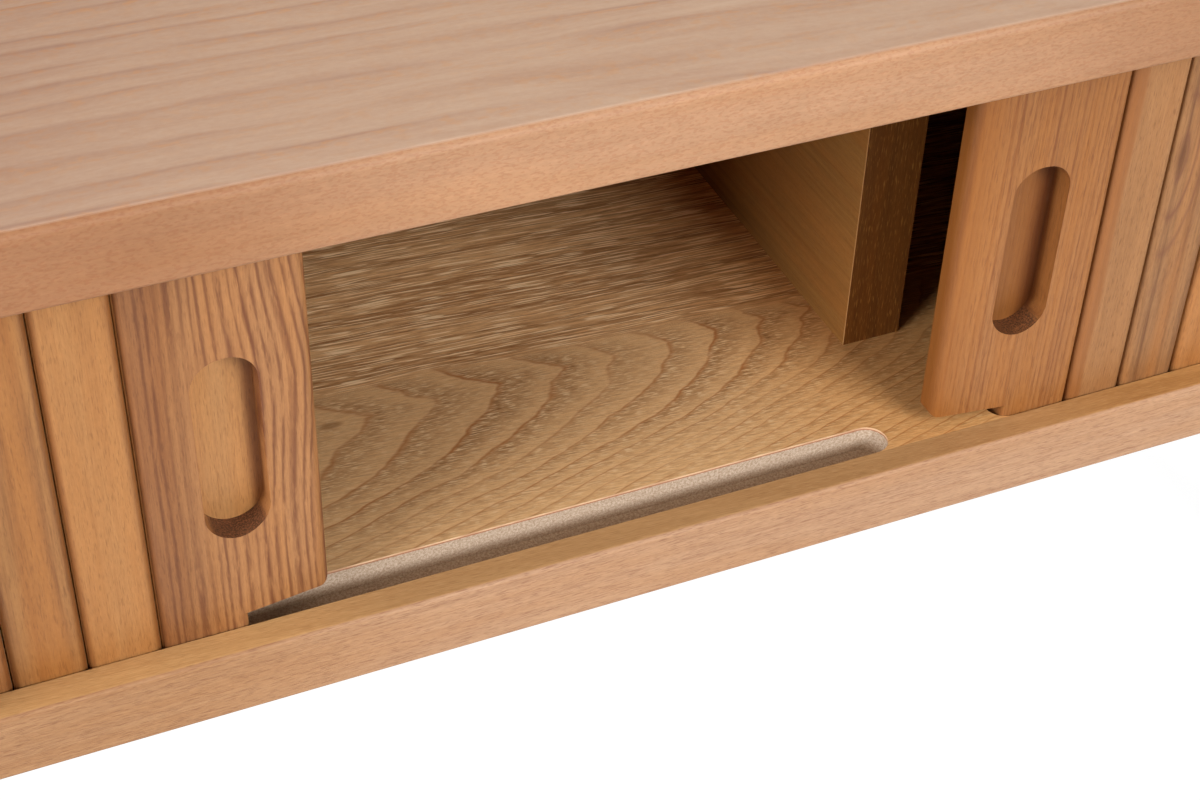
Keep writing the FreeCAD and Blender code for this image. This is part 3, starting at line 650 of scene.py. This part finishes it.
def floor_veneer_colour(g):
    """Flat-cut ash: thin brown ring lines, a pored zone beyond each, and close streaks behind."""
    x, y = g.position()[:2]
    count, depth = floor_figure(g)
    phase = g.math("FRACT", count)
    own = g.line_noise(g.math("FLOOR", g.add(count, 0.05)), 0.61, 3.3, detail=0.0)
    own = g.smooth(own, 0.25, 0.70, 0.55, 1.0)
    toward_back = g.smooth(depth, 16.0, 62.0)
    line = g.ramp(
        phase, [(0.0, 1.0), (0.045, 0.45), (0.10, 0.0), (0.93, 0.0), (0.985, 0.9), (1.0, 1.0)])
    zone = g.ramp(
        phase, [(0.0, 0.55), (0.12, 0.95), (0.45, 0.55), (0.75, 0.10), (0.95, 0.0), (1.0, 0.55)])
    zone = g.mul(g.mul(zone, own), g.add(0.35, g.mul(toward_back, 0.65)))

    slope = g.add(y, g.mul(x, 0.062))
    waver = g.sub(g.face_noise(x, y, 0.012, 0.05, 7.0), 0.5)
    streak_place = g.add(slope, g.mul(waver, 5.0))
    fine = g.face_noise(x, streak_place, 1 / 45.0, 1 / 1.35, 11.0, detail=2.5, roughness=0.65)
    broad = g.face_noise(x, streak_place, 1 / 160.0, 1 / 7.0, 17.0, detail=1.0)
    streaks = g.smooth(g.add(g.mul(fine, 0.7), g.mul(broad, 0.3)), 0.38, 0.62)
    edge = front_y + APEX_DEPTH
    in_streaks = g.smooth(g.add(slope, g.mul(waver, 10.0)), edge, edge + 8.0)

    speckle_place = g.add(slope, g.mul(g.sub(1.0, in_streaks), g.mul(depth, -0.10)))
    fibre = g.face_noise(x, speckle_place, 1 / 7.0, 1 / 0.85, 5.0, detail=3.0, roughness=0.75)
    short_dash = g.face_noise(x, speckle_place, 1 / 3.6, 1 / 0.44, 23.0, detail=1.0)
    long_dash = g.face_noise(x, streak_place, 1 / 17.0, 1 / 0.62, 27.0, detail=1.0)
    dash = g.mix_value(in_streaks, short_dash, long_dash)
    dark_dash = g.smooth(dash, 0.54, 0.62)
    light_dash = g.smooth(g.sub(1.0, dash), 0.55, 0.62)

    arches = g.add(g.mul(zone, 0.52), g.mul(g.mul(zone, dark_dash), 0.36))
    behind_tips = g.add(0.12, g.mul(g.sub(1.0, streaks), 0.68))
    dark = g.add(g.mul(arches, g.sub(1.0, in_streaks)), g.mul(behind_tips, in_streaks))
    dark = g.math("ADD", dark, g.mul(g.sub(fibre, 0.44), 1.5), clamp=True)
    colour = g.mix(dark, srgb(216, 169, 118), srgb(142, 98, 58))
    open_grain = g.mul(g.add(0.40, zone), g.sub(1.0, in_streaks))
    cream = g.mul(light_dash, g.add(g.mul(in_streaks, 0.80), g.mul(open_grain, 0.52)))
    colour = g.mix(cream, colour, srgb(240, 208, 164))
    fade = g.smooth(g.face_noise(x, y, 0.03, 0.06, 31.0, detail=1.0), 0.25, 0.60)
    line_amount = g.mul(
        g.mul(line, g.sub(1.0, in_streaks)), g.mul(own, g.add(0.36, g.mul(fade, 0.44))))
    colour = g.mix(line_amount, colour, srgb(162, 96, 44))
    knot_x = g.math("POWER", g.mul(g.sub(x, FLOOR_KNOT[0]), 1 / 3.2), 2.0)
    knot_y = g.math("POWER", g.mul(g.sub(depth, FLOOR_KNOT[1]), 1 / 1.4), 2.0)
    knot = g.fall(g.add(knot_x, knot_y), 0.0, 2.2)
    colour = g.mix(g.mul(knot, 0.6), colour, srgb(128, 84, 42))
    colour = tint(g, colour, g.sub(1.0, in_streaks), (0.985, 1.0, 1.0))
    colour = tint(g, colour, in_streaks, (1.15, 1.15, 1.15))
    # Painted shade: darker and more orange from x = -70 mm rightward, where the right door and the
    # divider shade the floor.
    colour = tint(g, colour, g.smooth(x, -70.0, 0.0), (0.97, 0.83, 0.64))
    return colour, dark_dash, fibre


def strip_top_colour(g):
    """The bottom strip's upper face: warm, streaked a little aslant, darker toward the right."""
    x, y = g.position()[:2]
    place = g.add(y, g.mul(x, 0.07))
    waver = g.sub(g.face_noise(x, y, 0.014, 0.08, 2.0), 0.5)
    place = g.add(place, g.mul(waver, 3.0))
    broad = g.face_noise(x, place, 1 / 55.0, 1 / 2.2, 3.0, roughness=0.6)
    fibre = g.face_noise(x, place, 1 / 9.0, 1 / 0.42, 8.0, roughness=0.65)
    dash = g.face_noise(x, place, 1 / 3.6, 1 / 0.34, 12.0, detail=1.0)
    dark_dash = g.smooth(dash, 0.55, 0.66)
    light_dash = g.smooth(g.sub(1.0, dash), 0.55, 0.66)
    cloud = g.face_noise(x, y, 1 / 40.0, 1 / 9.0, 15.0, detail=1.0)
    dark = g.add(g.mul(g.sub(broad, 0.5), 0.6), g.mul(g.sub(fibre, 0.5), 0.6))
    dark = g.add(dark, g.mul(g.sub(cloud, 0.5), 0.3))
    dark = g.math("ADD", dark, g.add(0.34, g.mul(g.smooth(x, -120.0, 60.0), 0.22)), clamp=True)
    colour = g.mix(dark, srgb(212, 164, 112), srgb(160, 110, 63))
    colour = g.mix(g.mul(light_dash, 0.16), colour, srgb(232, 190, 142))
    colour = g.mix(g.mul(dark_dash, 0.16), colour, srgb(132, 82, 46))
    colour = tint(g, colour, g.smooth(x, -230.0, -160.0), (0.80, 0.79, 0.76))
    colour = tint(g, colour, g.fall(x, -230.0, -160.0), (0.87, 0.87, 0.80))
    colour = tint(g, colour, g.smooth(x, 0.0, 90.0), (1.08, 1.02, 0.84))
    return colour, dark_dash, fibre


def top_veneer_colour(g):
    """Pale veneer in bands: hazy beige, then speckled orange, then a thin mauve line."""
    x, y = g.position()[:2]
    waver = g.sub(g.face_noise(x, y, 0.0035, 0.012, 2.0), 0.5)
    small = g.sub(g.face_noise(x, y, 0.018, 0.10, 9.0), 0.5)
    place = g.add(g.add(y, g.mul(x, 0.05)), g.add(g.mul(waver, 30.0), g.mul(small, 5.0)))
    uneven = g.line_noise(place, 0.035, 1.0)
    behind = g.math("MAXIMUM", g.sub(place, front_y), 0.0)
    close = g.math("MINIMUM", behind, 170.0)
    count = g.add(g.mul(place, 1 / 13.0), g.mul(g.mul(close, close), 0.00034))
    phase = g.math("FRACT", g.add(count, g.mul(uneven, 2.2)))
    band = g.ramp(
        phase, [(0.0, 0.30), (0.12, 0.0), (0.40, 0.10), (0.80, 1.0), (0.92, 0.85), (1.0, 0.30)])
    line = g.ramp(phase, [(0.0, 0.45), (0.10, 0.0), (0.82, 0.0), (0.93, 1.0), (1.0, 0.45)])
    presence = g.face_noise(x, place, 1 / 80.0, 1 / 9.0, 41.0)
    band = g.mul(band, g.smooth(presence, 0.25, 0.60, 0.15, 1.0))
    line = g.mul(line, g.smooth(presence, 0.40, 0.60))
    haze = g.face_noise(x, place, 1 / 90.0, 1 / 7.0, 21.0)
    fibre = g.face_noise(x, place, 1 / 18.0, 1 / 1.8, 13.0, roughness=0.6)
    speck = g.face_noise(x, place, 1 / 4.5, 1 / 2.0, 29.0, roughness=0.6)
    pores = g.smooth(speck, 0.48, 0.64)
    grit = g.face_noise(x, place, 1 / 2.6, 1 / 1.1, 33.0, roughness=0.7)

    dark = g.add(g.mul(band, 0.26), g.mul(g.sub(haze, 0.5), 0.9))
    dark = g.add(g.add(dark, 0.26), g.mul(g.sub(grit, 0.5), 0.45))
    dark = g.math("ADD", dark, g.mul(g.sub(fibre, 0.5), 0.5), clamp=True)
    colour = g.mix(dark, srgb(197, 166, 141), srgb(169, 128, 103))
    farther = g.smooth(behind, 30.0, 110.0, 0.6, 1.0)
    fleck = g.mul(g.mul(g.add(0.18, g.mul(band, 0.82)), farther), g.add(0.06, g.mul(pores, 0.50)))
    colour = g.mix(fleck, colour, srgb(204, 142, 84))
    colour = g.mix(g.mul(line, 0.28), colour, srgb(138, 98, 90))
    # Painted shade: the top darker toward its far left, where the light falls off; the boundary
    # wavers with the haze so it reads as figure.
    edge = g.add(g.sub(x, g.mul(y, 0.4)), g.mul(g.sub(haze, 0.5), 330.0))
    darker_zone = g.mul(g.fall(edge, -280.0, -60.0), g.smooth(edge, -720.0, -380.0))
    colour = tint(g, colour, darker_zone, (0.81, 0.74, 0.73))
    return colour, g.mul(pores, 0.15), g.mul(fibre, 0.5)


def panel_material(name, face_colour, low_z, high_z, seed):
    """Veneer on the two large faces of a panel, board and the veneer's edge everywhere else."""
    g = Graph(name)
    colour, pores, fibre = face_colour(g)
    core = veneer_edge(g, board_core(g, seed), low_z, high_z)
    mask = veneer_mask(g, low_z, high_z)
    colour = g.mix(mask, core, colour)
    height = g.mul(grain_height(g, fibre, pores), mask)
    rough = g.add(0.70, g.mul(mask, -0.26))
    return g.finish(colour, rough, grain_bump(g, height), specular=0.4)


STRIP_WOOD = dict(
    WOOD_DEFAULTS, along="X", light=(224, 174, 134), dark=(172, 114, 78), pore=(146, 86, 62),
    warm=(214, 154, 104), tone=(0.67, 0.69, 0.69), ring_strength=0.06, ring_width=7.0,
    fibre_strength=0.44, fibre_width=0.6, streak_strength=0.30, streak_width=2.0, pore_length=3.6,
    pore_size=0.28, pore_cover=0.54, pore_strength=0.40, mottle=0.05, end_level=0.90)


def strip_material(name, face_colour, face_z, seed, **settings):
    """Solid strip along a panel's front, with another figure on its upper face."""
    p = dict(STRIP_WOOD, seed=seed, ring_centre=(front_y - 60.0, face_z + 90.0))
    p.update(settings)
    g = Graph(name)
    x, _, z = g.position()
    solid, solid_pores, solid_fibre = wood_layers(g, p)
    # Painted light and shade toward the strip's ends, where the light falls off from its middle: a
    # tone for each end.
    solid = tint(g, solid, g.fall(x, -250.0, -150.0), p["left_tone"])
    solid = tint(g, solid, g.smooth(x, -30.0, 60.0), p["right_tone"])
    solid = end_grain(g, 0, solid, p)
    veneer, pores, fibre = face_colour(g)
    over = g.math("GREATER_THAN", g.sub(z, face_z), -STRIP_SKIN)
    facing = g.smooth(g.normal()[2], 0.90, 0.98)
    mask = g.mul(over, facing)
    colour = g.mix(mask, solid, veneer)
    fibre = g.mix_value(mask, solid_fibre, fibre)
    height = grain_height(g, fibre, g.mix_value(mask, solid_pores, pores))
    return g.finish(colour, 0.52, grain_bump(g, height), specular=0.30)


# ---- the divider ---------------------------------------------------------------------------------
DIVIDER_WOOD = dict(
    WOOD_DEFAULTS, along="Y", light=(200, 148, 88), dark=(158, 108, 58), ring_strength=0.25,
    ring_width=4.0, ring_centre=(500.0, 0.0), fibre_strength=0.4, streak_strength=0.7,
    pore_strength=0.2, tone=(0.655, 0.61, 0.49), seed=19.0)


def divider_lipping_material():
    """Dark upright grain with pale dashes, the divider's veneer over the flanks, a pale arris."""
    p = dict(
        WOOD_DEFAULTS, along="Z", light=(168, 116, 72), dark=(112, 68, 38), pore=(232, 180, 126),
        ring_strength=0.2, fibre_strength=0.60, pore_strength=0.85, pore_length=4.0, pore_size=0.36,
        pore_cover=0.58, tone=(0.52, 0.40, 0.18), seed=29.0)
    g = Graph("divider_lipping_wood")
    front, pores, fibre = wood_layers(g, p)
    side = wood_layers(g, DIVIDER_WOOD)[0]
    flank = g.smooth(g.abs(g.normal()[0]), 0.4, 0.6)
    colour = g.mix(flank, front, side)
    edge_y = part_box("divider_front_lipping")[0].y / MM
    arris = g.mul(flank, g.math("LESS_THAN", g.position()[1], edge_y + 0.5))
    colour = g.mix(g.mul(arris, 0.6), colour, srgb(222, 172, 116))
    return wood_surface(g, p, colour, pores, fibre)


# ---- metal, rubber, plastic, cloth ---------------------------------------------------------------
def steel_material(name, tone, roughness):
    """Zinc-plated steel, cloudy and faintly turned."""
    g = Graph(name)
    cloud = g.solid_noise((0.5, 0.5, 0.5), detail=3.0)
    turning = g.solid_noise((0.3, 6.0, 6.0))
    colour = g.mix(g.mul(cloud, 0.6), tone, tuple(0.72 * level for level in tone))
    rough = g.add(roughness - 0.06, g.mul(turning, 0.14))
    return g.finish(colour, rough, g.bump(turning, strength=0.15, distance=0.05 * MM), Metallic=1.0)


def rubber_material():
    """Matt black rubber with a fine grain."""
    g = Graph("stop_rubber")
    grain = g.solid_noise((2.0, 2.0, 2.0), detail=3.0)
    colour = g.mix(grain, (0.018, 0.018, 0.018), (0.045, 0.044, 0.042))
    return g.finish(colour, 0.75, g.bump(grain, strength=0.3, distance=0.1 * MM), specular=0.25)


def glide_material():
    """Dark plastic, scuffed in places."""
    g = Graph("glide_plastic")
    grain = g.solid_noise((1.4, 1.4, 1.4), detail=4.0, roughness=0.7)
    scuff = g.smooth(g.solid_noise((0.2, 1.6, 0.5)), 0.55, 0.75)
    colour = g.mix(g.mul(scuff, 0.4), (0.060, 0.056, 0.052), (0.150, 0.145, 0.140))
    rough = g.add(0.50, g.mul(scuff, 0.2))
    return g.finish(colour, rough, g.bump(grain, strength=0.25, distance=0.08 * MM), specular=0.4)


WEAVE_REPEAT = 1.7       # mm, two threads of the cloth


def canvas_material():
    """Plain-weave cotton: over-and-under threads a little under a millimetre apart."""
    g = Graph("door_canvas")
    x, _, z = g.position()
    turn = 2 * math.pi / WEAVE_REPEAT
    warp_thread = g.math("SINE", g.mul(x, turn))
    weft_thread = g.math("SINE", g.mul(z, turn))
    over = g.mul(g.math("SINE", g.mul(x, turn / 2)), g.math("SINE", g.mul(z, turn / 2)))
    weave = g.add(g.mul(g.mul(warp_thread, weft_thread), 0.5), g.mul(over, 0.5))
    slub = g.solid_noise((1.1, 1.1, 0.06))
    level = g.math("ADD", g.mul(weave, 0.22), g.add(0.2, g.mul(slub, 0.5)), clamp=True)
    colour = g.mix(level, srgb(170, 150, 120), srgb(214, 198, 168))
    return g.finish(colour, 0.92, g.bump(weave, strength=0.6, distance=0.25 * MM), specular=0.1)


CLOTH_COLUMN = 0.002     # m between the cloth's columns of points
CLOTH_ROWS = 24          # faces from its lower to its upper edge
SINK_WIDTH = 0.0012      # m, spread of the sinking at a slat joint
SINK_DEPTH = 0.00012     # m
EDGE_INSET = 0.0005      # m that a cut edge lies inside the cloth's box, on average
EDGE_WAVER = 0.0004      # m either way from there
FRONT_INSET = 0.15       # of the thickness, from the box to the cloth's front face


def make_canvas(side_name):
    """The cloth behind a door. It sinks a little at each slat joint, and its cut edges waver."""
    node = side_name + "_canvas"
    slats = slat_names(side_name)
    low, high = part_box(node)
    inner_corner = 1 if side_name == "left" else 0
    gaps = [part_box(slat)[inner_corner].x for slat in slats]
    columns = int((high.x - low.x) / CLOTH_COLUMN)
    rows = CLOTH_ROWS
    dice = random.Random(5)
    waver = [[dice.uniform(-1, 1) for _ in range(columns + 1)] for _ in range(2)]

    def point(i, j, back):
        """One point of the front or back face, by column and row."""
        x = low.x + (high.x - low.x) * i / columns
        z = low.z + (high.z - low.z) * j / rows
        if j == 0:
            z += EDGE_WAVER * waver[0][i] + EDGE_INSET
        elif j == rows:
            z += EDGE_WAVER * waver[1][i] - EDGE_INSET
        if back:
            sink = sum(math.exp(-((x - gap) / SINK_WIDTH) ** 2) for gap in gaps)
            return (x, high.y - SINK_DEPTH * sink, z)
        return (x, low.y + FRONT_INSET * (high.y - low.y), z)

    verts = [
        point(i, j, back) for back in (0, 1) for j in range(rows + 1) for i in range(columns + 1)]
    width = columns + 1
    layer = width * (rows + 1)
    faces = []
    for j in range(rows):
        for i in range(columns):
            a = j * width + i
            faces.append((a, a + 1, a + 1 + width, a + width))
            faces.append((layer + a + width, layer + a + 1 + width, layer + a + 1, layer + a))
    for i in range(columns):
        top = rows * width + i
        faces.append((i, layer + i, layer + i + 1, i + 1))
        faces.append((top + 1, layer + top + 1, layer + top, top))
    for j in range(rows):
        a = j * width
        b = a + columns
        faces.append((a + width, layer + a + width, layer + a, a))
        faces.append((b, layer + b, layer + b + width, b + width))
    mesh = bpy.data.meshes.new(side_name + "_door_cloth")
    mesh.from_pydata(verts, [], faces)
    mesh.validate()
    mesh.shade_smooth()
    piece = bpy.data.objects.new(side_name + "_door_cloth", mesh)
    bpy.context.scene.collection.objects.link(piece)
    mesh.materials.append(CANVAS)
    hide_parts(node)
    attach(piece, side_name + "_door")


# ---- assigning -----------------------------------------------------------------------------------
def dress(node, material):
    """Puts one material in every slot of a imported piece."""
    mesh = NODES[node].data
    mesh.materials.clear()
    mesh.materials.append(material)


def dress_panels():
    """The case: panels, strips, divider and fixed fronts."""
    dress("bottom_panel", panel_material("floor_panel", floor_veneer_colour, case_z, floor_z, 1.0))
    dress("top_panel", panel_material("top_panel_wood", top_veneer_colour, ceiling_z, top_z, 2.0))
    dress("bottom_front_lipping", strip_material(
        "bottom_strip_wood", strip_top_colour, floor_z, 5.0, left_tone=(0.84, 0.77, 0.64),
        right_tone=(1.02, 1.03, 1.05)))
    dress("top_front_lipping", strip_material(
        "top_strip_wood", top_veneer_colour, top_z, 9.0, pore=(186, 112, 70), pore_length=1.5,
        pore_size=0.6, pore_cover=0.50, pore_strength=0.24, fibre_strength=0.16, fibre_width=0.9,
        streak_strength=0.18, mottle=0.13, tone=(0.66, 0.655, 0.65), left_tone=(0.74, 0.63, 0.53),
        right_tone=(0.79, 0.72, 0.65)))
    dress("end_lippings", wood("end_strip_wood", **dict(STRIP_WOOD, along="Y", seed=12.0)))
    dress("back_panel", wood(
        "back_wood", along="X", light=(212, 164, 114), dark=(160, 112, 70), seed=7.0,
        ring_width=9.0, ring_centre=(0.0, 760.0), warp=8.0))
    dress("centre_divider", wood("divider_wood", **DIVIDER_WOOD))
    dress("divider_front_lipping", divider_lipping_material())
    for i, side in enumerate(("left", "right")):
        dress("side_panel_" + side, wood(
            "side_wood_" + side, along="Y", light=(218, 162, 114), dark=(176, 118, 76),
            ring_width=8.0, ring_centre=(640.0, 700.0 * (2 * i - 1)), warp=9.0, end_level=1.0,
            seed=21.0 + i))
        dress(side + "_fixed_board", wood(
            side + "_board_wood", light=(196, 142, 96), dark=(150, 100, 62), seed=33.0 + i))
        dress(side + "_fixed_slats", fixed_slat_material(side + "_fixed_slat_wood", 41.0 + i))


def dress_doors():
    """Both doors: lead slats, narrow slats and cloth."""
    dress("left_lead_slat", left_lead_material())
    dress("right_lead_slat", right_lead_material())
    number = 1
    for side in ("left", "right"):
        for node in slat_names(side):
            dress(node, slat_material(node, number))
            number += 1
        make_canvas(side)


def dress_stand():
    """Legs, rails and dowels."""
    legs = ("front_leg_left", "front_leg_right", "rear_leg_left", "rear_leg_right")
    for i, node in enumerate(legs):
        low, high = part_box(node)
        centre = ((low.x + high.x) / 2 / MM + 30.0, (low.y + high.y) / 2 / MM + 45.0)
        dress(node, wood(
            node + "_wood", light=(220, 164, 114), dark=(172, 114, 70), ring_width=5.0,
            ring_centre=centre, ring_strength=0.45, seed=51.0 + 2 * i))
    for i, side in enumerate(("left", "right")):
        dress("side_rail_" + side, wood(
            "rail_wood_" + side, along="Y", light=(216, 160, 112), dark=(170, 112, 70),
            ring_width=5.0, ring_centre=(500.0, 560.0 * (2 * i - 1)), seed=71.0 + i))
    dress("rear_rail", wood(
        "rear_rail_wood", along="X", light=(216, 160, 112), dark=(170, 112, 70), ring_width=5.0,
        ring_centre=(60.0, 500.0), seed=75.0))
    dress("carcass_dowels", wood(
        "dowel_wood", light=(232, 200, 156), dark=(206, 168, 120), ring_strength=0.2, seed=77.0))


def dress_hardware():
    """Steel, rubber and plastic."""
    zinc = steel_material("zinc_steel", (0.60, 0.60, 0.58), 0.34)
    screws = steel_material("screw_steel", (0.56, 0.55, 0.50), 0.38)
    for node in ("leg_bolts", "rail_bolts", "barrel_nuts"):
        dress(node, zinc)
    dress("rail_screws", screws)
    dress("back_panel_screws", screws)
    dress("door_stops", rubber_material())
    dress("floor_glides", glide_material())


# ---- stage, lights, camera -----------------------------------------------------------------------
WORLD_LEVEL = 0.02       # light that the surroundings give to all but the camera
FLOOR_GLOW = 1.08        # brightness of the floor's own light to the camera
GLOW_SHARE = 0.9         # share of that light in the floor that the camera sees
STAGE_HALF = 6.0         # m from the floor's middle to its edges


def make_stage():
    """A pale floor that the camera sees nearly white."""
    half = STAGE_HALF
    mesh = bpy.data.meshes.new("floor")
    corners = [(-half, -half, 0), (half, -half, 0), (half, half, 0), (-half, half, 0)]
    mesh.from_pydata(corners, [], [(0, 1, 2, 3)])
    floor = bpy.data.objects.new("floor", mesh)
    bpy.context.scene.collection.objects.link(floor)
    g = Graph("pale_floor")
    g.finish((0.86, 0.86, 0.85), 0.6, specular=0.2)
    glow = g.tree.nodes.new("ShaderNodeEmission")
    glow.inputs["Strength"].default_value = FLOOR_GLOW
    share = g.tree.nodes.new("ShaderNodeMixShader")
    path = g.tree.nodes.new("ShaderNodeLightPath")
    seen = g.math("MULTIPLY", path.outputs["Is Camera Ray"], GLOW_SHARE)
    g.put(seen, share.inputs[0])
    g.put(g.shader.outputs[0], share.inputs[1])
    g.put(glow.outputs[0], share.inputs[2])
    g.put(share.outputs[0], g.output.inputs["Surface"])
    mesh.materials.append(g.material)


def make_world():
    """White to camera and transmission rays, dim to everything else."""
    world = bpy.data.worlds.new("studio")
    bpy.context.scene.world = world
    world.use_nodes = True
    tree = world.node_tree
    background = tree.nodes["Background"]
    path = tree.nodes.new("ShaderNodeLightPath")
    either = tree.nodes.new("ShaderNodeMath")
    either.operation = "MAXIMUM"
    tree.links.new(path.outputs["Is Camera Ray"], either.inputs[0])
    tree.links.new(path.outputs["Is Transmission Ray"], either.inputs[1])
    level = tree.nodes.new("ShaderNodeMapRange")
    level.inputs["To Min"].default_value = WORLD_LEVEL
    level.inputs["To Max"].default_value = 1.0
    tree.links.new(either.outputs[0], level.inputs["Value"])
    tree.links.new(level.outputs[0], background.inputs["Strength"])
    background.inputs["Color"].default_value = (1.0, 1.0, 1.0, 1.0)


AIM = (-0.08, -0.24, 0.66)  # m, near the middle of the view


def area_lamp(name, place, target, size, watts):
    """A rectangular lamp turned toward a target."""
    data = bpy.data.lights.new(name, "AREA")
    data.shape = "RECTANGLE"
    data.size, data.size_y = size
    data.energy = watts
    lamp = bpy.data.objects.new(name, data)
    lamp.location = place
    lamp.rotation_euler = (Vector(target) - Vector(place)).to_track_quat("-Z", "Y").to_euler()
    bpy.context.scene.collection.objects.link(lamp)


def make_camera():
    """The photo's view, by a fit to the desk's straight edges."""
    place = Vector((-0.3034, -0.6447, 1.0268))
    target = Vector((-0.1182, -0.2400, 0.6611))
    roll = math.radians(1.945)
    data = bpy.data.cameras.new("camera")
    data.sensor_width = 36.0
    data.lens = 63.08
    data.clip_start = 0.02
    camera = bpy.data.objects.new("camera", data)
    back = (place - target).normalized()
    right = Vector((0, 0, 1)).cross(back).normalized()
    up = back.cross(right)
    turned_right = right * math.cos(roll) + up * math.sin(roll)
    turned_up = up * math.cos(roll) - right * math.sin(roll)
    camera.matrix_world = Matrix((turned_right, turned_up, back)).transposed().to_4x4()
    camera.location = place
    bpy.context.scene.collection.objects.link(camera)
    bpy.context.scene.camera = camera


CANVAS = canvas_material()
dress_panels()
dress_doors()
dress_stand()
dress_hardware()
make_stage()
make_world()
area_lamp("key", (0.664, -2.035, 1.693), AIM, (1.1, 0.85), 46)
area_lamp("left", (-2.022, -0.909, 1.448), AIM, (1.15, 1.2), 50)
area_lamp("high", (0.004, -1.201, 2.637), AIM, (1.5, 0.9), 6)
area_lamp("over", (-0.080, 0.471, 2.847), AIM, (2.0, 1.2), 18)
make_camera()
bpy.context.scene.view_settings.view_transform = "Standard"
